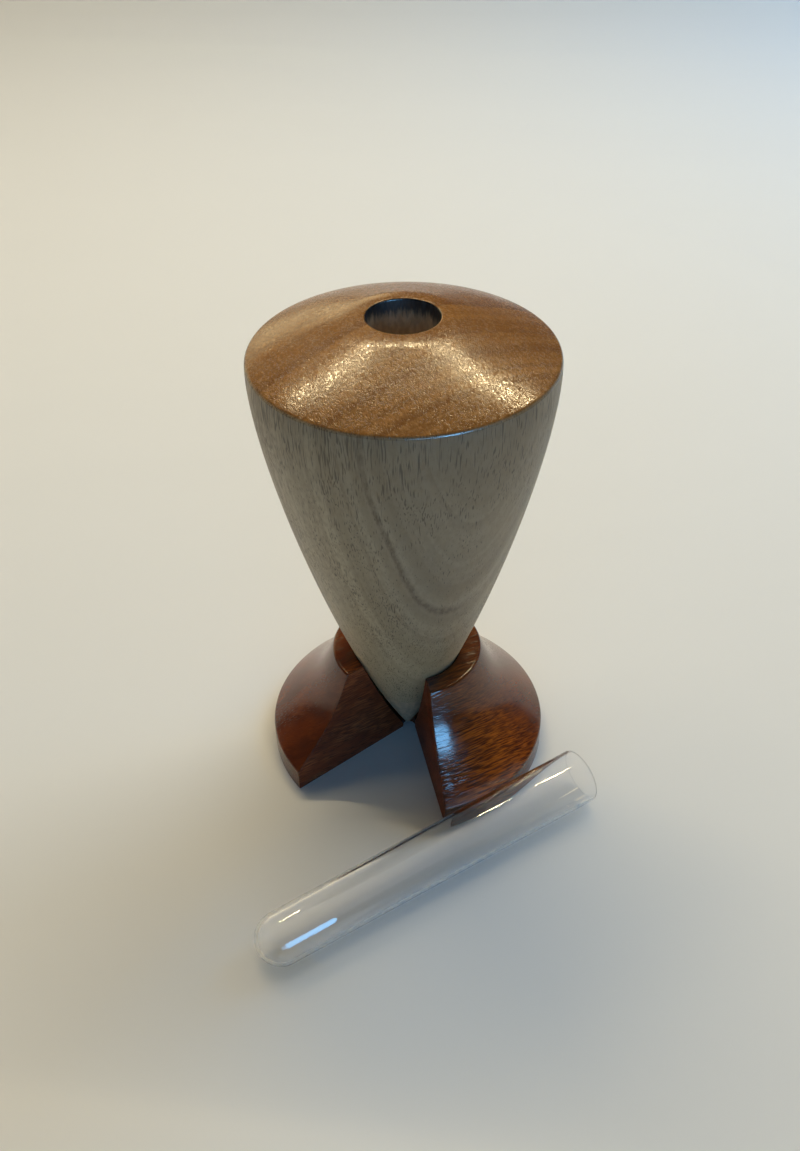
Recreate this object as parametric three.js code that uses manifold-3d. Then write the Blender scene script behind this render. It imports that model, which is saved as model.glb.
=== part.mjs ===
// A turned wooden bud vase that stands on a notched foot, with its clear test tube taken out and laid in front.
// Millimetres, +Z up. The origin is the middle of the whole set's footprint, on the table top.
import * as THREE from 'three';
import { mergeVertices } from 'three/addons/utils/BufferGeometryUtils.js';
import Module from 'manifold-3d';

// Test tube: a stock moulded tube, slightly tapered, round at one end and rimless at the other
const TUBE_LENGTH = 100;
const TUBE_MOUTH_RADIUS = 7.6;
const TUBE_END_RADIUS = 6.75;
const TUBE_WALL = 0.95;

// Bore: takes the tube with room to spare, and ends where the body is still thick
const BORE_CLEARANCE = 1;
const BORE_END_CLEARANCE = 1;
const BORE_FLOOR_HEIGHT = 33;
const LIP_ROUND = 0.6;

// Body: a long convex side from a blunt point to the rim, under a low dome that rolls off towards its edge
const RIM_RADIUS = 36.8;
const RIM_ROUND = 1.3;
const DOME_RISE = 9.2;
const DOME_LAND = 2.5;
const DOME_SHOULDER = 3.2;
const EDGE_ROLL = 6.3;
const EDGE_FALL = 2.9;
const POINT_RADIUS = 0.5;
const POINT_LIFT = 1.7;
const POINT_HALF_ANGLE = 29.7;
const POINT_FULLNESS = 40;
const SHOULDER_FULLNESS = 19;
const SHOULDER_BULGE = 1.3;

// Foot: a cove from an upright edge up to a flat collar, bored to the body's own curve
const COLLAR_HEIGHT = 33.3;
const COLLAR_WIDTH = 5.65;
const COLLAR_ROUND = 0.9;
const NECK_SLOPE = 22;
const FOOT_FLARE = 18.35;
const FOOT_WALL = 6.4;
const FOOT_ROUND = 1.2;
const COVE_RISE = 16;
const COVE_DROP = 13.5;
const GLUE_GAP = 0.3;
const POINT_CLEARANCE = 1;

// Notch: two upright saw cuts, each at its own heading and just off the vase's axis
const LEFT_CUT_HEADING = 218.8;
const LEFT_CUT_OFFSET = 0.3;
const RIGHT_CUT_HEADING = 281.8;
const RIGHT_CUT_OFFSET = 1.9;
const SAW_OVERRUN = 5;

// Lying tube: its mouth points this way, past the foot, and it lies just clear of the vase
const TUBE_HEADING = 32.3;
const TUBE_MOUTH_AHEAD = 25.6;
const TUBE_STANDOFF = 1.3;

// Facets
const VASE_SEGMENTS = 64;
const TUBE_SEGMENTS = 40;
const SIDE_STEPS = 18;
const DOME_STEPS = 6;
const COVE_STEPS = 12;
const ROUND_STEPS = 4;
const TUBE_END_STEPS = 6;

// The tube's mouth edge is a half round, and its straight wall runs from there to the round end
const mouthEdgeRound = TUBE_WALL / 2;
const wallRun = TUBE_LENGTH - mouthEdgeRound - TUBE_END_RADIUS;
const taper = Math.atan2(TUBE_MOUTH_RADIUS - TUBE_END_RADIUS, wallRun);

const boreRadius = TUBE_MOUTH_RADIUS + BORE_CLEARANCE;
const topHeight = BORE_FLOOR_HEIGHT + TUBE_LENGTH + BORE_END_CLEARANCE;
const rimHeight = topHeight - DOME_RISE;

// The dome meets the rim's rounding at a steeper slope than its straight flank has
const lipRadius = boreRadius + LIP_ROUND;
const rimSlope = Math.atan2(EDGE_FALL, EDGE_ROLL);
const rimRoundHeight = rimHeight - RIM_ROUND * (1 / Math.cos(rimSlope) - Math.tan(rimSlope));

const wasm = await Module();
wasm.setup();

function radians(degrees) {
  return THREE.MathUtils.degToRad(degrees);
}

function point(radius, height) {
  return new THREE.Vector2(radius, height);
}

// A quarter or smaller arc of a profile, from one angle to another, counted from the outward radius
function arc(centre, radius, fromDegrees, toDegrees, steps) {
  const points = [];
  for (let i = 0; i <= steps; i++) {
    const angle = radians(THREE.MathUtils.lerp(fromDegrees, toDegrees, i / steps));
    points.push(point(centre.x + radius * Math.cos(angle), centre.y + radius * Math.sin(angle)));
  }
  return points;
}

function curve(start, startHandle, endHandle, end, steps) {
  return new THREE.CubicBezierCurve(start, startHandle, endHandle, end).getPoints(steps);
}

// A corner of a profile, rounded off from one point to the other
function rounded(start, corner, end, steps) {
  return new THREE.QuadraticBezierCurve(start, corner, end).getPoints(steps);
}

// A solid of revolution about +Z from a profile that runs up its outside and back down its inside
function turn(profile, segments) {
  return new THREE.LatheGeometry(profile, segments).rotateX(Math.PI / 2);
}

function toManifold(geometry) {
  const bare = geometry.clone();
  bare.deleteAttribute('normal');
  bare.deleteAttribute('uv');
  const welded = mergeVertices(bare, 1e-4);
  return new wasm.Manifold(new wasm.Mesh({
    numProp: 3,
    vertProperties: new Float32Array(welded.attributes.position.array),
    triVerts: new Uint32Array(welded.index.array),
  }));
}

function fromManifold(solid) {
  const mesh = solid.getMesh();
  const geometry = new THREE.BufferGeometry();
  geometry.setAttribute('position', new THREE.BufferAttribute(mesh.vertProperties, 3));
  geometry.setIndex(new THREE.BufferAttribute(mesh.triVerts, 1));
  geometry.computeVertexNormals();
  return geometry;
}

// Side of the body, from the blunt point to the start of the rounded rim
function bodySide() {
  const pointTop = point(POINT_RADIUS, POINT_LIFT);
  const halfAngle = radians(POINT_HALF_ANGLE);
  const reach = point(Math.sin(halfAngle), Math.cos(halfAngle)).multiplyScalar(POINT_FULLNESS);
  const shoulder = point(RIM_RADIUS + SHOULDER_BULGE, rimRoundHeight - SHOULDER_FULLNESS);
  const rim = point(RIM_RADIUS, rimRoundHeight);
  return curve(pointTop, pointTop.clone().add(reach), shoulder, rim, SIDE_STEPS);
}

// Point of the body's side at a height, taken on the same straight facets as the solid
function sideAt(side, height) {
  const above = side.findIndex((p) => p.y >= height);
  const low = side[above - 1];
  const high = side[above];
  return low.clone().lerp(high, (height - low.y) / (high.y - low.y));
}

function bodyGeometry(side) {
  const rim = point(RIM_RADIUS - RIM_ROUND, rimRoundHeight);
  const lip = point(lipRadius, topHeight - LIP_ROUND);
  const domeTop = point(lipRadius, topHeight);
  const corner = point(lipRadius + DOME_LAND, topHeight);
  const bend = point(RIM_RADIUS - EDGE_ROLL, rimHeight + EDGE_FALL);
  const downFlank = bend.clone().sub(corner).normalize();
  const flankTop = corner.clone().addScaledVector(downFlank, DOME_SHOULDER);
  const flankFoot = bend.clone().addScaledVector(downFlank, -EDGE_ROLL);
  const rimArc = arc(rim, RIM_ROUND, 0, 90 - THREE.MathUtils.radToDeg(rimSlope), ROUND_STEPS);
  const profile = [
    point(0, POINT_LIFT),
    ...side,
    ...rimArc.slice(1),
    ...rounded(rimArc[ROUND_STEPS], bend, flankFoot, DOME_STEPS).slice(1),
    ...rounded(flankTop, corner, domeTop, DOME_STEPS),
    ...arc(lip, LIP_ROUND, 90, 180, ROUND_STEPS).slice(1),
    point(boreRadius, BORE_FLOOR_HEIGHT),
    point(0, BORE_FLOOR_HEIGHT),
  ];
  return turn(profile, VASE_SEGMENTS);
}

// Sizes of the foot that follow from where the body passes through its collar
function footSizes(side) {
  const socketRadius = sideAt(side, COLLAR_HEIGHT).x + GLUE_GAP;
  const collarRadius = socketRadius + COLLAR_WIDTH;
  return { socketRadius, collarRadius, radius: collarRadius + FOOT_FLARE };
}

// The socket runs down the body's side, a glue gap off it at the collar and more at the point, and out below
function socketProfile(side, socketRadius) {
  const gapAt = (height) => THREE.MathUtils.lerp(POINT_CLEARANCE, GLUE_GAP, height / COLLAR_HEIGHT);
  const below = side.filter((p) => p.y < COLLAR_HEIGHT).reverse();
  return [
    point(socketRadius, COLLAR_HEIGHT),
    ...below.map((p) => point(p.x + gapAt(p.y), p.y)),
    point(POINT_RADIUS + POINT_CLEARANCE, 0),
  ];
}

function footGeometry(side) {
  const { socketRadius, collarRadius, radius } = footSizes(side);
  const edge = point(radius - FOOT_ROUND, FOOT_WALL);
  const edgeArc = arc(edge, FOOT_ROUND, 0, 45, ROUND_STEPS);
  const collarEdge = point(collarRadius - COLLAR_ROUND, COLLAR_HEIGHT - COLLAR_ROUND);
  const collarArc = arc(collarEdge, COLLAR_ROUND, NECK_SLOPE, 90, ROUND_STEPS);
  const neckSlope = radians(NECK_SLOPE);
  const downNeck = point(Math.sin(neckSlope), -Math.cos(neckSlope));
  const upCove = point(-Math.SQRT1_2, Math.SQRT1_2);
  const coveStart = edgeArc[ROUND_STEPS];
  const coveEnd = collarArc[0];
  const coveLow = coveStart.clone().addScaledVector(upCove, COVE_RISE);
  const coveHigh = coveEnd.clone().addScaledVector(downNeck, COVE_DROP);
  const socket = socketProfile(side, socketRadius);
  const bottomHole = socket[socket.length - 1];
  const profile = [
    bottomHole.clone(),
    point(radius, 0),
    ...edgeArc,
    ...curve(coveStart, coveLow, coveHigh, coveEnd, COVE_STEPS).slice(1),
    ...collarArc.slice(1),
    ...socket,
  ];
  const ring = toManifold(turn(profile, VASE_SEGMENTS));
  return fromManifold(ring.subtract(toManifold(notchGeometry(radius))));
}

// A point on a saw cut in plan: along its heading, and off the axis to the right of that heading
function onCut(heading, offset, along) {
  const angle = radians(heading);
  const ahead = point(Math.cos(angle), Math.sin(angle));
  const right = point(ahead.y, -ahead.x);
  return ahead.multiplyScalar(along).add(right.multiplyScalar(offset));
}

// The wedge between the two cuts: it starts where they meet, behind the axis, and runs out past the foot
function notchGeometry(footRadius) {
  const opening = radians(RIGHT_CUT_HEADING - LEFT_CUT_HEADING);
  const back = (LEFT_CUT_OFFSET + RIGHT_CUT_OFFSET * Math.cos(opening)) / Math.sin(opening);
  const far = (footRadius + SAW_OVERRUN) / Math.cos(opening / 2);
  const wedge = new THREE.Shape([
    onCut(RIGHT_CUT_HEADING, -RIGHT_CUT_OFFSET, -back),
    onCut(LEFT_CUT_HEADING, LEFT_CUT_OFFSET, far),
    onCut(RIGHT_CUT_HEADING, -RIGHT_CUT_OFFSET, far),
  ]);
  const depth = COLLAR_HEIGHT + 2 * SAW_OVERRUN;
  return new THREE.ExtrudeGeometry(wedge, { depth, bevelEnabled: false }).translate(0, 0, -SAW_OVERRUN);
}

// The tube stands on its round end here, with its mouth up
function tubeGeometry() {
  const innerEnd = TUBE_END_RADIUS - TUBE_WALL;
  const endCentre = point(0, TUBE_END_RADIUS);
  const edgeCentre = point(TUBE_MOUTH_RADIUS - mouthEdgeRound, TUBE_LENGTH - mouthEdgeRound);
  const profile = [
    ...arc(endCentre, TUBE_END_RADIUS, -90, 0, TUBE_END_STEPS),
    ...arc(edgeCentre, mouthEdgeRound, 0, 180, ROUND_STEPS),
    ...arc(endCentre, innerEnd, 0, -90, TUBE_END_STEPS),
  ];
  return turn(profile, TUBE_SEGMENTS);
}

function part(name, geometry, color, roughness, opacity = 1) {
  const material = new THREE.MeshStandardMaterial({ color, roughness, metalness: 0 });
  material.opacity = opacity;
  material.transparent = opacity < 1;
  const mesh = new THREE.Mesh(geometry, material);
  mesh.name = name;
  return mesh;
}

// Lays the tube on the table beside the vase: its lowest line is level, so its axis climbs with the taper
function layTube(mesh, vaseRadius) {
  mesh.rotation.y = Math.PI / 2 - taper;
  mesh.position.x = TUBE_MOUTH_AHEAD - TUBE_LENGTH * Math.cos(taper);
  mesh.position.y = -(vaseRadius + TUBE_STANDOFF + TUBE_MOUTH_RADIUS);
  mesh.position.z = TUBE_END_RADIUS * (Math.cos(taper) - Math.sin(taper));
  const lying = new THREE.Group();
  lying.rotation.z = radians(TUBE_HEADING);
  lying.add(mesh);
  return lying;
}

const side = bodySide();
const vaseRadius = Math.max(footSizes(side).radius, ...side.map((p) => p.x));

const vase = new THREE.Group();
vase.add(part('vase_body', bodyGeometry(side), 0xa08a68, 0.5));
vase.add(part('base', footGeometry(side), 0x5a2413, 0.25));

const set = new THREE.Group();
set.add(vase);
set.add(layTube(part('test_tube', tubeGeometry(), 0xe8eef0, 0.05, 0.3), vaseRadius));

// The set's footprint is centred on the origin
set.updateMatrixWorld(true);
const footprint = new THREE.Box3().setFromObject(set, true);
const middle = footprint.getCenter(new THREE.Vector3());
set.position.set(-middle.x, -middle.y, -footprint.min.z);

export default set;
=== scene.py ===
"""A turned wooden bud vase on a notched foot, with its clear test tube lying in front. Metres, +Z up."""
import math

import bpy
from mathutils import Matrix, Vector


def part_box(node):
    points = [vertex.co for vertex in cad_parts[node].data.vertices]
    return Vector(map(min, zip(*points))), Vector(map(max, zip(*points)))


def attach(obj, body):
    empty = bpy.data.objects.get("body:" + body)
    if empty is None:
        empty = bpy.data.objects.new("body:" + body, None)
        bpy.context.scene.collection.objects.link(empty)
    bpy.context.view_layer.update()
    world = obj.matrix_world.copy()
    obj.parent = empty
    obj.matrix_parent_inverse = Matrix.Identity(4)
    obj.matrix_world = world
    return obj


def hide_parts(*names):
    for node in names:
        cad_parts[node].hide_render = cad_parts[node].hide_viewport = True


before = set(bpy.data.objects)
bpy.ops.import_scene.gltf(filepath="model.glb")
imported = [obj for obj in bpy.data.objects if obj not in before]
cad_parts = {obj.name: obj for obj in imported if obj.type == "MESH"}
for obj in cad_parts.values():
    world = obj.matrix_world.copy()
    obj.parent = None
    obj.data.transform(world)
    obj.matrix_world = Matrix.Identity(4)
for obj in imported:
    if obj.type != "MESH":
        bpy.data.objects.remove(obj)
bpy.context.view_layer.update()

# Sizes in millimetres, as in the part's solids
TUBE_LENGTH, TUBE_MOUTH_RADIUS, TUBE_END_RADIUS, TUBE_WALL = 100, 7.6, 6.75, 0.95
BORE_RADIUS, BORE_FLOOR, LIP_ROUND, TOP_HEIGHT = 8.6, 33, 0.6, 134
RIM_RADIUS, RIM_ROUND, EDGE_ROLL, EDGE_FALL = 36.8, 1.3, 6.3, 2.9
DOME_RISE, DOME_LAND, DOME_SHOULDER = 9.2, 2.5, 3.2
POINT_RADIUS, POINT_LIFT, POINT_HALF_ANGLE, POINT_FULLNESS = 0.5, 1.7, math.radians(29.7), 40
SHOULDER_FULLNESS, SHOULDER_BULGE = 19, 1.3
COLLAR_HEIGHT, COLLAR_WIDTH, COLLAR_ROUND, NECK_SLOPE = 33.3, 5.65, 0.9, math.radians(22)
FOOT_FLARE, FOOT_WALL, FOOT_ROUND, COVE_RISE, COVE_DROP = 18.35, 6.4, 1.2, 16, 13.5
GLUE_GAP, POINT_CLEARANCE = 0.3, 1
LEFT_CUT, LEFT_OFFSET = math.radians(218.8), 0.3
RIGHT_CUT, RIGHT_OFFSET = math.radians(281.8), 1.9
TUBE_HEADING, TUBE_MOUTH_AHEAD, TUBE_STANDOFF = math.radians(32.3), 25.6, 1.3

# Small edges in millimetres, which only show close up
EDGE = 0.4
ARRIS = 0.22

# How finely the curves are drawn: steps along a section, segments round a piece
SIDE_STEPS, ROLL_STEPS, SHOULDER_STEPS, COVE_STEPS = 110, 20, 16, 48
RIM_STEPS, EDGE_STEPS, EASED_STEPS, ARRIS_STEPS = 10, 8, 6, 4
TUBE_END_STEPS, TUBE_MOUTH_STEPS = 28, 14
BODY_SEGMENTS, FOOT_SEGMENTS, TUBE_SEGMENTS = 256, 240, 128
SHARP_ANGLE = math.radians(32)

# Headings in plan of the growth layers' normal in the body and of the grain in the foot
LAYER_HEADING = math.radians(-60)
GRAIN_HEADING = math.radians(27)

# The depth of the woods' grain and pores, in metres
BUMP_DEPTH = 0.00006

# The floor is a wide disc, so that no corner of it shows from any side
FLOOR_RADIUS = 1.4
FLOOR_SIDES = 180

# The lamps stand in a row behind, placed from the point near the vase's top that they are aimed at
LAMP_AIM_HEIGHT = 0.13
LAMP_ROW = Vector((0.07, 0.5, 0.785))
LAMP_COUNT, LAMP_PITCH, LAMP_WIDTH, LAMP_DEPTH, LAMP_POWER = 9, 0.14, 0.1, 0.03, 1.2

# Colours of the lights
LAMP_COLOUR, SOFT_COLOUR, WALL_COLOUR = (1.0, 0.80, 0.46), (1.0, 0.82, 0.50), (1.0, 0.80, 0.44)
WINDOW_COLOUR, DAYLIGHT_COLOUR, SKY_COLOUR = (0.20, 0.55, 1.0), (0.17, 0.53, 1.0), (0.18, 0.54, 1.0)

# The camera's place from the foot of the vase's axis, its slight turn and tilt, and its lens
CAMERA_PLACE = Vector((0, -0.23956, 0.25528))
CAMERA_YAW, CAMERA_PITCH, CAMERA_ROLL = math.radians(-0.388), math.radians(39.489), math.radians(0.927)
FOCAL_PIXELS, PICTURE_PIXELS, SENSOR_WIDTH = 1160, 1151, 36

# Millimetres about the vase's axis become metres in the frame
low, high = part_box("vase_body")
AXIS = Vector(((low.x + high.x) / 2, (low.y + high.y) / 2, 0))
upright = Matrix.Translation(AXIS) @ Matrix.Scale(0.001, 4)


def arc(centre, radius, start, end, steps):
    angles = [start + (end - start) * i / steps for i in range(steps + 1)]
    return [(centre[0] + radius * math.cos(a), centre[1] + radius * math.sin(a)) for a in angles]


def bezier(points, steps):
    made = []
    for i in range(steps + 1):
        t = i / steps
        row = [Vector(p) for p in points]
        while len(row) > 1:
            row = [a.lerp(b, t) for a, b in zip(row, row[1:])]
        made.append(tuple(row[0]))
    return made


def eased(before, corner, after, size):
    """A corner rounded off over a short way along both of its sides."""
    corner = Vector(corner)
    start = corner + (Vector(before) - corner).normalized() * size
    end = corner + (Vector(after) - corner).normalized() * size
    return bezier([start, corner, end], EASED_STEPS)


lip_radius = BORE_RADIUS + LIP_ROUND
rim_slope = math.atan2(EDGE_FALL, EDGE_ROLL)
rim_height = TOP_HEIGHT - DOME_RISE - RIM_ROUND * (1 / math.cos(rim_slope) - math.tan(rim_slope))


def body_side():
    """The body's long curve from its point up to the rim, which the foot's socket follows too."""
    reach = Vector((math.sin(POINT_HALF_ANGLE), math.cos(POINT_HALF_ANGLE))) * POINT_FULLNESS
    start = Vector((POINT_RADIUS, POINT_LIFT))
    shoulder = (RIM_RADIUS + SHOULDER_BULGE, rim_height - SHOULDER_FULLNESS)
    return bezier([start, start + reach, shoulder, (RIM_RADIUS, rim_height)], SIDE_STEPS)


side = body_side()


def body_profile():
    """The body's section, from its point up the side, over the domed top and down the bore."""
    corner = Vector((lip_radius + DOME_LAND, TOP_HEIGHT))
    bend = Vector((RIM_RADIUS - EDGE_ROLL, TOP_HEIGHT - DOME_RISE + EDGE_FALL))
    down = (bend - corner).normalized()
    rim = arc((RIM_RADIUS - RIM_ROUND, rim_height), RIM_ROUND, 0, math.pi / 2 - rim_slope, RIM_STEPS)
    lip_centre = (lip_radius, TOP_HEIGHT - LIP_ROUND)
    return [
        (0, POINT_LIFT),
        *eased((0, POINT_LIFT), side[0], side[2], POINT_RADIUS / 2),
        *side[2:],
        *rim[1:],
        *bezier([rim[-1], bend, bend - down * EDGE_ROLL], ROLL_STEPS)[1:],
        *bezier([corner + down * DOME_SHOULDER, corner, (lip_radius, TOP_HEIGHT)], SHOULDER_STEPS),
        *arc(lip_centre, LIP_ROUND, math.pi / 2, math.pi, EDGE_STEPS)[1:],
        *eased((BORE_RADIUS, TOP_HEIGHT), (BORE_RADIUS, BORE_FLOOR), (0, BORE_FLOOR), EDGE),
        (0, BORE_FLOOR),
    ]


def foot_profile():
    """The foot's closed section, counter-clockwise from the small hole that the body's point ends in."""
    above = next(i for i, p in enumerate(side) if p[1] >= COLLAR_HEIGHT)
    (r0, z0), (r1, z1) = side[above - 1], side[above]
    socket = r0 + (r1 - r0) * (COLLAR_HEIGHT - z0) / (z1 - z0) + GLUE_GAP
    collar = socket + COLLAR_WIDTH
    radius = collar + FOOT_FLARE
    edge = arc((radius - FOOT_ROUND, FOOT_WALL), FOOT_ROUND, 0, math.pi / 4, EDGE_STEPS)
    top_centre = (collar - COLLAR_ROUND, COLLAR_HEIGHT - COLLAR_ROUND)
    top = arc(top_centre, COLLAR_ROUND, NECK_SLOPE, math.pi / 2, EDGE_STEPS)
    low_pull = Vector(edge[-1]) + Vector((-1, 1)).normalized() * COVE_RISE
    high_pull = Vector(top[0]) + Vector((math.sin(NECK_SLOPE), -math.cos(NECK_SLOPE))) * COVE_DROP
    loosening = (POINT_CLEARANCE - GLUE_GAP) / COLLAR_HEIGHT
    inside = [(r + POINT_CLEARANCE - loosening * z, z) for r, z in reversed(side[:above - 1])]
    return [
        (POINT_RADIUS + POINT_CLEARANCE, 0),
        *eased((0, 0), (radius, 0), (radius, FOOT_WALL), EDGE),
        *edge,
        *bezier([edge[-1], low_pull, high_pull, top[0]], COVE_STEPS)[1:],
        *top[1:],
        *eased((collar, COLLAR_HEIGHT), (socket, COLLAR_HEIGHT), inside[0], EDGE / 2),
        *inside,
    ]


def mesh_object(name, points, faces):
    mesh = bpy.data.meshes.new(name)
    mesh.from_pydata([tuple(p) for p in points], [], faces)
    mesh.shade_smooth()
    mesh.set_sharp_from_angle(angle=SHARP_ANGLE)
    made = bpy.data.objects.new(name, mesh)
    bpy.context.scene.collection.objects.link(made)
    return made


def lathe(name, profile, segments, place):
    """A closed solid turned from a section that starts and ends on its own axis."""
    angles = [math.tau * j / segments for j in range(segments)]
    ring = [(math.cos(a), math.sin(a)) for a in angles]
    points = [place @ Vector((0, 0, profile[0][1]))]
    for r, z in profile[1:-1]:
        points += [place @ Vector((r * c, r * s, z)) for c, s in ring]
    points.append(place @ Vector((0, 0, profile[-1][1])))
    faces = []
    last = len(profile) - 3
    for j in range(segments):
        k = (j + 1) % segments
        faces.append((0, 1 + k, 1 + j))
        for i in range(last):
            a, b = 1 + i * segments, 1 + (i + 1) * segments
            faces.append((a + j, a + k, b + k, b + j))
        faces.append((1 + last * segments + j, 1 + last * segments + k, len(points) - 1))
    return mesh_object(name, points, faces)


def inset(profile, amount):
    """A closed section drawn in by the same amount all round."""
    made = []
    count = len(profile)
    for i in range(count):
        here = Vector(profile[i])
        first = (here - Vector(profile[i - 1])).normalized()
        second = (Vector(profile[(i + 1) % count]) - here).normalized()
        inward = Vector((-first.y - second.y, first.x + second.x))
        made.append(tuple(here + inward * (amount / (1 + first.dot(second)))))
    return made


def notched_ring(name, profile, segments, place):
    """The section swept round from one saw cut to the other, with both cuts' edges just broken.

    The hole under the body's point widens towards the right cut, which passes further from the axis.
    The first and the last face are the right and the left cut.
    """
    turns = [math.pi / 2 * i / ARRIS_STEPS for i in range(ARRIS_STEPS, 0, -1)]
    breaks = [(inset(profile, ARRIS * (1 - math.cos(a))), ARRIS * (1 - math.sin(a))) for a in turns]
    columns = [(section, back, 0) for section, back in breaks]
    columns += [(profile, ARRIS, j / segments) for j in range(segments + 1)]
    columns += [(section, back, 1) for section, back in reversed(breaks)]
    count = len(profile)
    points = []
    wide_hole = RIGHT_OFFSET + 2 * ARRIS
    for section, back, share in columns:
        for r, z in section:
            start = RIGHT_CUT + math.asin((RIGHT_OFFSET + back) / max(r, wide_hole))
            r = max(r, wide_hole * (1 - share))
            end = LEFT_CUT + math.tau - math.asin((LEFT_OFFSET + back) / r)
            angle = start + (end - start) * share
            points.append(place @ Vector((r * math.cos(angle), r * math.sin(angle), z)))
    faces = [tuple(range(count))]
    for j in range(len(columns) - 1):
        for i in range(count):
            k = (i + 1) % count
            a, b = j * count, (j + 1) * count
            faces.append((a + i, b + i, b + k, a + k))
    faces.append(tuple(range(len(points) - 1, len(points) - count - 1, -1)))
    return mesh_object(name, points, faces)


def tube_profile():
    """The tube's section, from its round end up the outside, over the mouth's edge and down inside."""
    edge = TUBE_WALL / 2
    end = (0, TUBE_END_RADIUS)
    return [
        *arc(end, TUBE_END_RADIUS, -math.pi / 2, 0, TUBE_END_STEPS),
        *arc((TUBE_MOUTH_RADIUS - edge, TUBE_LENGTH - edge), edge, 0, math.pi, TUBE_MOUTH_STEPS),
        *arc(end, TUBE_END_RADIUS - TUBE_WALL, 0, -math.pi / 2, TUBE_END_STEPS),
    ]


def tube_place(foot_radius):
    """The tube lies with its lowest line level, so its axis climbs with its taper."""
    straight = TUBE_LENGTH - TUBE_WALL / 2 - TUBE_END_RADIUS
    taper = math.atan2(TUBE_MOUTH_RADIUS - TUBE_END_RADIUS, straight)
    moved = Matrix.Translation((
        TUBE_MOUTH_AHEAD - TUBE_LENGTH * math.cos(taper),
        -(foot_radius + TUBE_STANDOFF + TUBE_MOUTH_RADIUS),
        TUBE_END_RADIUS * (math.cos(taper) - math.sin(taper)),
    ))
    laid_down = Matrix.Rotation(math.pi / 2 - taper, 4, "Y")
    return upright @ Matrix.Rotation(TUBE_HEADING, 4, "Z") @ moved @ laid_down


foot_section = foot_profile()
body = lathe("turned_body", body_profile(), BODY_SEGMENTS, upright)
foot = notched_ring("notched_foot", foot_section, FOOT_SEGMENTS, upright)
tube = lathe("clear_tube", tube_profile(), TUBE_SEGMENTS, tube_place(max(r for r, z in foot_section)))


def linear(red, green, blue):
    """A display colour of 0 to 255 as the shader's linear colour."""
    def channel(value):
        value /= 255
        return value / 12.92 if value <= 0.04045 else ((value + 0.055) / 1.055) ** 2.4
    return channel(red), channel(green), channel(blue), 1


class Surface:
    """A node material with short names for the nodes that the woods need."""

    def __init__(self, name):
        self.material = bpy.data.materials.new(name)
        self.material.use_nodes = True
        self.tree = self.material.node_tree
        self.shader = self.tree.nodes["Principled BSDF"]

    def feed(self, socket, value):
        if isinstance(value, bpy.types.NodeSocket):
            self.tree.links.new(value, socket)
        else:
            socket.default_value = value

    def fill(self, node, inputs):
        """Feeds a node's inputs by name, with an underscore for each space."""
        for key, value in inputs.items():
            self.feed(node.inputs[key.replace("_", " ")], value)

    def shade(self, **inputs):
        self.fill(self.shader, inputs)

    def node(self, kind, settings=None, **inputs):
        made = self.tree.nodes.new("ShaderNode" + kind)
        for key, value in (settings or {}).items():
            setattr(made, key, value)
        self.fill(made, inputs)
        return made

    def pair(self, kind, operation, first, second):
        """The outputs of a node that works on two values."""
        made = self.node(kind, {"operation": operation})
        self.feed(made.inputs[0], first)
        self.feed(made.inputs[1], second)
        return made.outputs

    def math(self, operation, first, second=0.0):
        return self.pair("Math", operation, first, second)[0]

    def plus(self, first, second):
        return self.math("ADD", first, second)

    def minus(self, first, second):
        return self.math("SUBTRACT", first, second)

    def times(self, first, second):
        return self.math("MULTIPLY", first, second)

    def over(self, first, second):
        return self.math("DIVIDE", first, second)

    def vector(self, operation, first, second):
        return self.pair("VectorMath", operation, first, second)["Vector"]

    def measure(self, operation, first, second=(0, 0, 0)):
        """A length, a distance or a dot product."""
        return self.pair("VectorMath", operation, first, second)["Value"]

    def noise(self, place, stretch, detail=2.0, roughness=0.5):
        """Noise over coordinates in millimetres, with the size of its grains along each axis."""
        scaled = self.vector("DIVIDE", place, stretch)
        made = self.node("TexNoise", Vector=scaled, Scale=1.0, Detail=detail, Roughness=roughness)
        return made.outputs["Fac"]

    def wander(self, place, stretch, amount, detail=1.0):
        """Noise about zero, up to half of the amount either way."""
        return self.times(self.minus(self.noise(place, stretch, detail), 0.5), amount)

    def between(self, value, low, high):
        """A smooth step from 0 at low to 1 at high, which falls where low is the greater."""
        smooth = {"interpolation_type": "SMOOTHSTEP"}
        return self.node("MapRange", smooth, Value=value, From_Min=low, From_Max=high).outputs["Result"]

    def mix(self, factor, first, second):
        """One colour to another. The node's colour sockets share their names, so they go by number."""
        made = self.node("Mix", {"data_type": "RGBA"}, Factor=factor)
        self.feed(made.inputs[6], first)
        self.feed(made.inputs[7], second)
        return made.outputs[2]

    def tint(self, colour, amount, share, towards):
        return self.mix(self.times(amount, share), colour, towards)

    def bump(self, height, strength):
        made = self.node("Bump", Height=height, Strength=strength, Distance=BUMP_DEPTH)
        self.shade(Normal=made.outputs[0])

    def wood_place(self, heading):
        """Millimetres from the foot of the vase's axis, with the first axis turned to a heading."""
        moved = self.vector("SUBTRACT", self.node("TexCoord").outputs["Object"], AXIS)
        turned = self.node("Mapping", Vector=moved, Rotation=(0, 0, -heading), Scale=(1000, 1000, 1000))
        return turned.outputs[0]

    def facing(self):
        return self.node("TexCoord").outputs["Normal"]

    def parts(self, place):
        return self.node("SeparateXYZ", Vector=place).outputs


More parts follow.
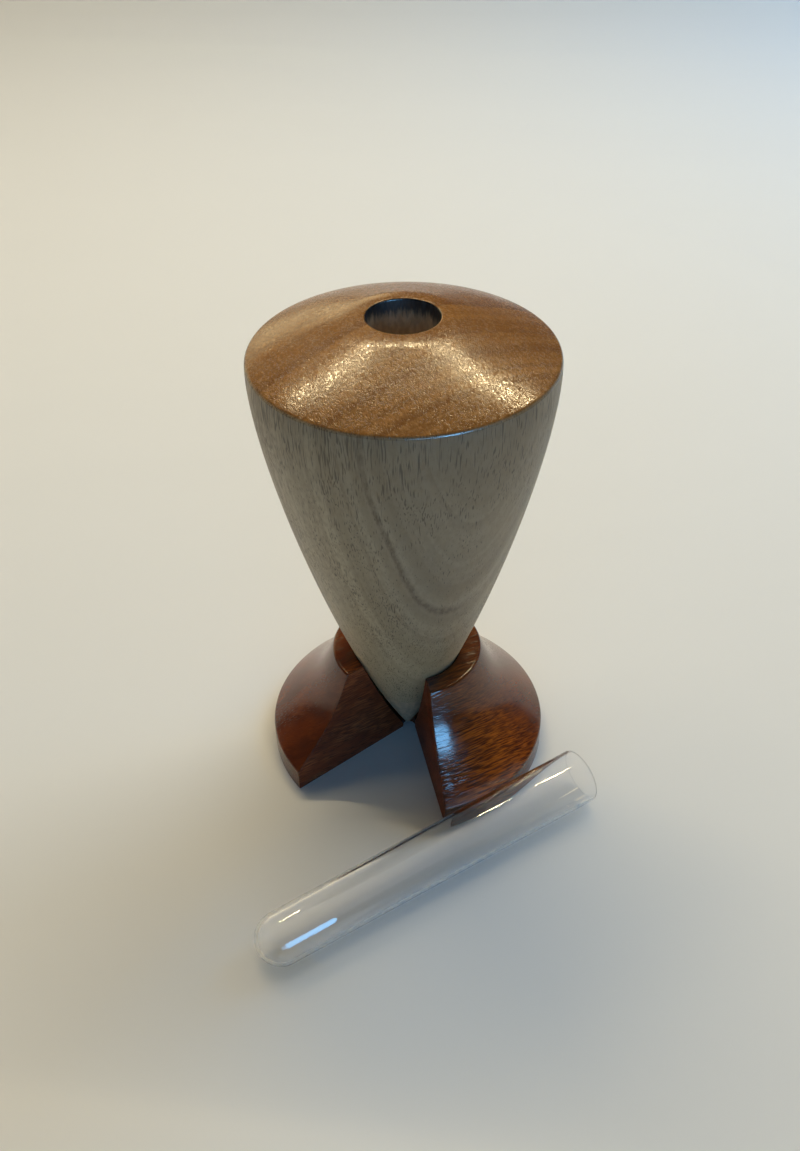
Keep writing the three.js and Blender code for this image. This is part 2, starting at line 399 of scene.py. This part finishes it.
def pale_wood():
    """Pale wood with its grain up the body: open-pored on the side, warmer and glossier on the domed end."""
    s = Surface("pale_open_pored_wood")
    place = s.wood_place(LAYER_HEADING)
    x, y, z = s.parts(place)
    facing_up = s.parts(s.facing())[2]
    end_grain = s.between(facing_up, 0.45, 0.85)
    glossy = s.between(facing_up, 0.05, 0.35)

    # Growth layers are nearly flat, so they cut the tapering side in nested hollows
    band_width, line_pitch, line_start, plain_line = 3.4, 3.9, 2.4, 25.8
    layer = s.plus(x, s.wander(place, (30, 36, 70), 4.0))
    flat = {"noise_dimensions": "1D"}
    bands = s.node("TexNoise", flat, W=s.over(layer, band_width), Scale=1.0, Detail=4.0)
    band = s.between(bands.outputs["Fac"], 0.32, 0.68)
    step = s.math("FRACT", s.over(s.minus(layer, line_start), line_pitch))
    line = s.times(s.between(step, 0.55, 0.97), s.between(step, 1.0, 0.97))

    # One layer's line is plain to see at the front
    off_plain = s.math("ABSOLUTE", s.minus(layer, plain_line))
    plain = s.times(s.between(off_plain, 0.8, 0.1), s.between(y, 5, -5))

    # Vessels run up the body: dashes where the side cuts them lengthwise, dots on the end grain
    sway = s.wander(place, (5, 5, 12), 1.4)
    swayed = s.node("CombineXYZ", X=s.plus(x, sway), Y=s.minus(y, sway), Z=z).outputs[0]
    vessel = s.noise(swayed, (0.28, 0.28, 5), 0.0)
    level = s.plus(vessel, s.wander(place, (6, 6, 24), 0.46, 2.0))
    level = s.plus(level, s.times(s.between(z, 85, 128), 0.12))
    level = s.minus(level, s.times(s.between(layer, 18, 27), 0.09))
    pore = s.between(level, 0.58, 0.78)
    fibre = s.noise(swayed, (0.3, 0.3, 4), 2.0)
    ray = s.noise(place, (1.1, 0.36, 4), 2.0)
    fleck = s.noise(place, (1.1, 0.8, 1.1), 1.0)
    speck = s.between(s.noise(place, (0.9, 0.7, 0.9), 1.0), 0.40, 0.58)
    mottle = s.noise(place, (1.2, 1.2, 2.4), 3.0, 0.6)

    # The side is warmer under the rim, and painted paler towards the point: painted light standing in for
    # the light bounced up from the floor
    heart = s.mix(band, linear(164, 142, 108), linear(184, 162, 127))
    outer = s.mix(band, linear(145, 124, 94), linear(165, 144, 114))
    side_colour = s.mix(s.between(layer, 8, 28), heart, outer)
    side_colour = s.tint(side_colour, s.between(mottle, 0.40, 0.70), 0.5, linear(137, 115, 86))
    side_colour = s.tint(side_colour, line, 0.2, linear(114, 89, 60))
    side_colour = s.tint(side_colour, plain, mottle, linear(88, 66, 43))
    side_colour = s.tint(side_colour, s.between(z, 90, 128), 0.3, linear(124, 92, 54))
    # Painted light: the lower side is paler, in place of the floor's bounced light
    side_colour = s.tint(side_colour, s.between(z, 75, 25), 0.4, linear(192, 171, 134))
    side_colour = s.tint(side_colour, pore, 0.6, linear(66, 49, 33))
    end_colour = s.mix(band, linear(114, 72, 30), linear(149, 102, 49))
    end_colour = s.tint(end_colour, s.between(ray, 0.40, 0.58), 0.5, linear(112, 70, 28))
    end_colour = s.tint(end_colour, s.between(fleck, 0.52, 0.70), 0.25, linear(186, 140, 80))
    end_colour = s.tint(end_colour, pore, 0.4, linear(84, 52, 24))
    colour = s.mix(end_grain, side_colour, end_colour)

    # The drilled bore, and with it the body's point, is paler: partly the bare drilled wood's own colour,
    # partly painted light standing in for the light reflected into the bore
    from_axis = s.measure("LENGTH", s.vector("MULTIPLY", place, (1, 1, 0)))
    inside = s.math("LESS_THAN", from_axis, BORE_RADIUS + LIP_ROUND / 3)
    # Painted light in part: the bore's wall is made paler than the shade inside it would show
    drilled_wood_and_painted_light = s.mix(s.between(mottle, 0.35, 0.7), linear(170, 148, 120), linear(198, 174, 144))
    colour = s.mix(inside, colour, drilled_wood_and_painted_light)

    # Stain rings the inside of the bore's mouth, with a ragged lower edge
    streak = s.noise(place, (0.8, 0.8, 5), 3.0, 0.6)
    ragged = s.plus(z, s.times(streak, 7.0))
    stain = s.times(inside, s.between(ragged, TOP_HEIGHT - 1.6, TOP_HEIGHT + 1.6))
    stained = s.mix(s.between(streak, 0.35, 0.7), linear(16, 17, 20), linear(58, 57, 58))
    colour = s.mix(stain, colour, stained)

    rough = s.plus(s.times(s.noise(place, (1.1, 1.1, 4), 2.0), 0.08), 0.38)
    rough = s.minus(rough, s.times(glossy, 0.31))
    rough = s.plus(rough, s.times(s.times(speck, end_grain), 0.14))
    rough = s.plus(rough, s.times(pore, 0.08))
    s.shade(Base_Color=colour, Roughness=rough)
    grain = s.mix(end_grain, s.times(fibre, 0.5), s.times(fleck, 0.9))
    s.bump(s.minus(grain, s.times(pore, 0.5)), 0.7)
    return s.material


def dark_wood(name, colours, least_rough, shine, spread):
    """Fine-figured red-brown wood with level grain, and its layers tilted 45 degrees about the grain.

    Turned and sawn faces differ in the least roughness, in shine and in how far the golden figure spreads.
    """
    s = Surface(name)
    place = s.wood_place(GRAIN_HEADING)
    x, y, z = s.parts(place)
    tilt = math.sqrt(0.5)
    depth = s.plus(s.times(s.plus(y, z), tilt), s.wander(place, (60, 16, 16), 4.0))
    width = s.times(s.minus(y, z), tilt)
    layers = s.node("CombineXYZ", X=x, Y=width, Z=depth).outputs[0]
    ribbon = s.noise(layers, (70, 18, 5), 2.0)
    fleck = s.noise(layers, (5.0, 2.0, 0.33), 3.0)
    pore = s.between(s.noise(layers, (3.8, 1.2, 0.26), 1.0), 0.55, 0.72)

    # The golden figure comes in patches. The fullest, low at the front on the right, is a painted sheen: the
    # wood's golden chatoyance where light catches it, painted into the colour
    painted_sheen_centre = (11, -32, 11)
    figure_and_painted_sheen = s.times(s.between(s.noise(layers, (14, 6, 6), 1.0), 0.3, 0.65), spread)
    # Painted sheen: a fuller golden patch is centred low at the front on the right
    painted_sheen = s.between(s.measure("DISTANCE", place, painted_sheen_centre), 26, 6)
    figure_and_painted_sheen = s.math("MAXIMUM", figure_and_painted_sheen, s.times(painted_sheen, 0.85))

    # The figure shows where the surface runs along the grain, and fades where it cuts across it
    along = (math.cos(GRAIN_HEADING), math.sin(GRAIN_HEADING), 0)
    endwise = s.math("ABSOLUTE", s.measure("DOT_PRODUCT", s.facing(), along))
    figure = s.plus(s.times(s.between(endwise, 0.75, 0.25), 0.7), 0.3)

    deep, warm, gold = colours
    colour = s.mix(s.between(ribbon, 0.25, 0.75), deep, warm)
    colour = s.tint(colour, s.between(fleck, 0.34, 0.70), s.times(figure, figure_and_painted_sheen), gold)
    colour = s.tint(colour, pore, s.times(figure, 0.6), linear(36, 14, 5))
    rough = s.plus(s.times(s.noise(layers, (5, 1.2, 1.2), 2.0), 0.14), least_rough)
    rough = s.plus(rough, s.times(pore, 0.1))
    s.shade(Base_Color=colour, Specular_IOR_Level=shine, Roughness=rough)
    s.bump(s.minus(s.times(fleck, 0.4), pore), 0.36)
    return s.material


def turned_wood():
    colours = linear(76, 32, 9), linear(104, 46, 12), linear(214, 108, 28)
    return dark_wood("polished_dark_wood", colours, least_rough=0.07, shine=0.5, spread=0.3)


def sawn_wood():
    colours = linear(100, 43, 18), linear(132, 62, 30), linear(202, 120, 68)
    return dark_wood("sawn_dark_wood", colours, least_rough=0.42, shine=0.15, spread=0.6)


def clear_plastic():
    s = Surface("clear_moulded_plastic")
    s.shade(Base_Color=(1, 1, 1, 1), Roughness=0.0, Transmission_Weight=1.0, IOR=1.5)

    # Lamps shine through the thin wall, so the tube's shadow is faint
    either = s.node("MixShader", Fac=s.node("LightPath").outputs["Is Shadow Ray"])
    s.feed(either.inputs[1], s.shader.outputs[0])
    s.feed(either.inputs[2], s.node("BsdfTransparent", Color=(0.91, 0.92, 0.93, 1)).outputs[0])
    s.feed(s.tree.nodes["Material Output"].inputs["Surface"], either.outputs[0])
    return s.material


def paper():
    s = Surface("pale_paper")
    s.shade(Base_Color=(0.72, 0.72, 0.71, 1), Roughness=0.95, Specular_IOR_Level=0.1)
    return s.material


for piece, material in [
    (body, pale_wood()),
    (foot, turned_wood()),
    (foot, sawn_wood()),
    (tube, clear_plastic()),
]:
    piece.data.materials.append(material)

# The foot's two saw cuts take its second material
for cut in (foot.data.polygons[0], foot.data.polygons[-1]):
    cut.material_index = 1

for piece, body_name, node, slot in [
    (body, "vase", "vase_body", "pale_wood"),
    (foot, "vase", "base", "dark_wood"),
    (tube, "tube", "test_tube", "clear_plastic"),
]:
    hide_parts(node)
    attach(piece, body_name)

headings = [math.tau * i / FLOOR_SIDES for i in range(FLOOR_SIDES)]
disc = [(FLOOR_RADIUS * math.cos(a), FLOOR_RADIUS * math.sin(a), 0) for a in headings]
floor = mesh_object("floor", disc, [tuple(range(FLOOR_SIDES))])
floor.data.materials.append(paper())


def panel(name, place, target, size, power, colour, diffuse=True, glossy=True):
    """A flat light aimed at a target, which may light surfaces, show in reflections or both."""
    light = bpy.data.lights.new(name, "AREA")
    light.shape = "RECTANGLE"
    light.size, light.size_y = size
    light.energy = power
    light.color = colour
    made = bpy.data.objects.new(name, light)
    made.location = place
    made.rotation_euler = (Vector(target) - Vector(place)).to_track_quat("-Z", "Y").to_euler()
    made.visible_diffuse = diffuse
    made.visible_glossy = glossy
    made.visible_transmission = False
    bpy.context.scene.collection.objects.link(made)


def from_side(heading, height, distance):
    """A place seen from the foot of the vase's axis at a heading and a height in degrees."""
    heading, height = math.radians(heading), math.radians(height)
    away = (math.cos(heading) * math.cos(height), math.sin(heading) * math.cos(height), math.sin(height))
    return AXIS + Vector(away) * distance


# The lamps show one by one in reflections. The light that falls from them, from behind on the left
# and from overhead is soft
lamp_aim = AXIS + Vector((0, 0, LAMP_AIM_HEIGHT))
for i in range(LAMP_COUNT):
    along = Vector(((i - (LAMP_COUNT - 1) / 2) * LAMP_PITCH, 0, 0))
    place = lamp_aim + LAMP_ROW + along
    size = (LAMP_WIDTH, LAMP_DEPTH)
    panel(f"lamp_{i}", place, lamp_aim, size, LAMP_POWER, LAMP_COLOUR, diffuse=False)
row_width = (LAMP_COUNT - 1) * LAMP_PITCH + LAMP_WIDTH
for name, place, size, power in [
    ("lamp_row", LAMP_ROW, (row_width, LAMP_DEPTH), 7.2),
    ("glow", Vector((-0.35, 0.45, 1.0)), (1.0, 0.2), 2.6),
    ("ceiling", Vector((0.05, 0.08, 0.95)), (0.3, 0.3), 1.6),
]:
    panel(name, lamp_aim + place, lamp_aim, size, power, SOFT_COLOUR, glossy=False)

# Two cool window panes only show in reflections. A warm wall stands at the back on the left, and cool
# daylight and sky fill in
for name, place, size, power in [
    ("window", from_side(-57, 17, 3), (1.15, 1.05), 72),
    ("side_window", from_side(-78, 14, 3), (0.75, 0.75), 9.4),
]:
    panel(name, place, AXIS, size, power, WINDOW_COLOUR, diffuse=False)
panel("wall", from_side(118, 13, 1.8), AXIS, (1.7, 0.5), 5.5, WALL_COLOUR)
for name, place, size, power, colour in [
    ("daylight", from_side(42, 34, 1.2), (0.8, 0.8), 7.0, DAYLIGHT_COLOUR),
    ("sky", from_side(-95, 20, 1.3), (1.6, 0.7), 4.6, SKY_COLOUR),
]:
    panel(name, place, AXIS, size, power, colour, glossy=False)


def room():
    """A dim room, in which the camera and the clear tube's sharp reflections see a pale backdrop.

    A sharp ray counts only before any diffuse bounce, so the backdrop adds no light to the surfaces.
    """
    world = bpy.data.worlds.new("room")
    world.use_nodes = True
    nodes = world.node_tree.nodes
    dim = nodes["Background"]
    dim.inputs["Color"].default_value = (0.80, 0.88, 1.0, 1)
    dim.inputs["Strength"].default_value = 0.05
    backdrop = nodes.new("ShaderNodeBackground")
    backdrop.inputs["Color"].default_value = (0.66, 0.65, 0.63, 1)
    rays = nodes.new("ShaderNodeLightPath").outputs
    seen = nodes.new("ShaderNodeMath")
    seen.operation = "MAXIMUM"
    straight = nodes.new("ShaderNodeMath")
    straight.operation = "GREATER_THAN"
    either = nodes.new("ShaderNodeMixShader")
    for source, socket in [
        (rays["Is Singular Ray"], straight.inputs[0]),
        (rays["Diffuse Depth"], straight.inputs[1]),
        (rays["Is Camera Ray"], seen.inputs[0]),
        (straight.outputs[0], seen.inputs[1]),
        (seen.outputs[0], either.inputs[0]),
        (dim.outputs[0], either.inputs[1]),
        (backdrop.outputs[0], either.inputs[2]),
        (either.outputs[0], nodes["World Output"].inputs["Surface"]),
    ]:
        world.node_tree.links.new(source, socket)
    return world


def viewer():
    """The camera, which looks down at the front with the photograph's own slight turn and tilt."""
    level_reach = math.cos(CAMERA_PITCH)
    ahead = Vector((
        math.sin(CAMERA_YAW) * level_reach, math.cos(CAMERA_YAW) * level_reach, -math.sin(CAMERA_PITCH),
    ))
    level = Vector((math.cos(CAMERA_YAW), -math.sin(CAMERA_YAW), 0))
    down = ahead.cross(level)
    right = level * math.cos(CAMERA_ROLL) + down * math.sin(CAMERA_ROLL)
    up = level * math.sin(CAMERA_ROLL) - down * math.cos(CAMERA_ROLL)
    lens = bpy.data.cameras.new("camera")
    lens.sensor_width = SENSOR_WIDTH
    lens.lens = SENSOR_WIDTH * FOCAL_PIXELS / PICTURE_PIXELS
    lens.clip_start = 0.01
    camera = bpy.data.objects.new("camera", lens)
    turn = Matrix((right, up, -ahead)).transposed().to_4x4()
    camera.matrix_world = Matrix.Translation(AXIS + CAMERA_PLACE) @ turn
    bpy.context.scene.collection.objects.link(camera)
    return camera


bpy.context.scene.world = room()
bpy.context.scene.camera = viewer()
bpy.context.scene.view_settings.view_transform = "Standard"

# The lamps' light already passes through the tube as its faint shadow, so caustics would count it twice
bpy.context.scene.cycles.caustics_reflective = False
bpy.context.scene.cycles.caustics_refractive = False
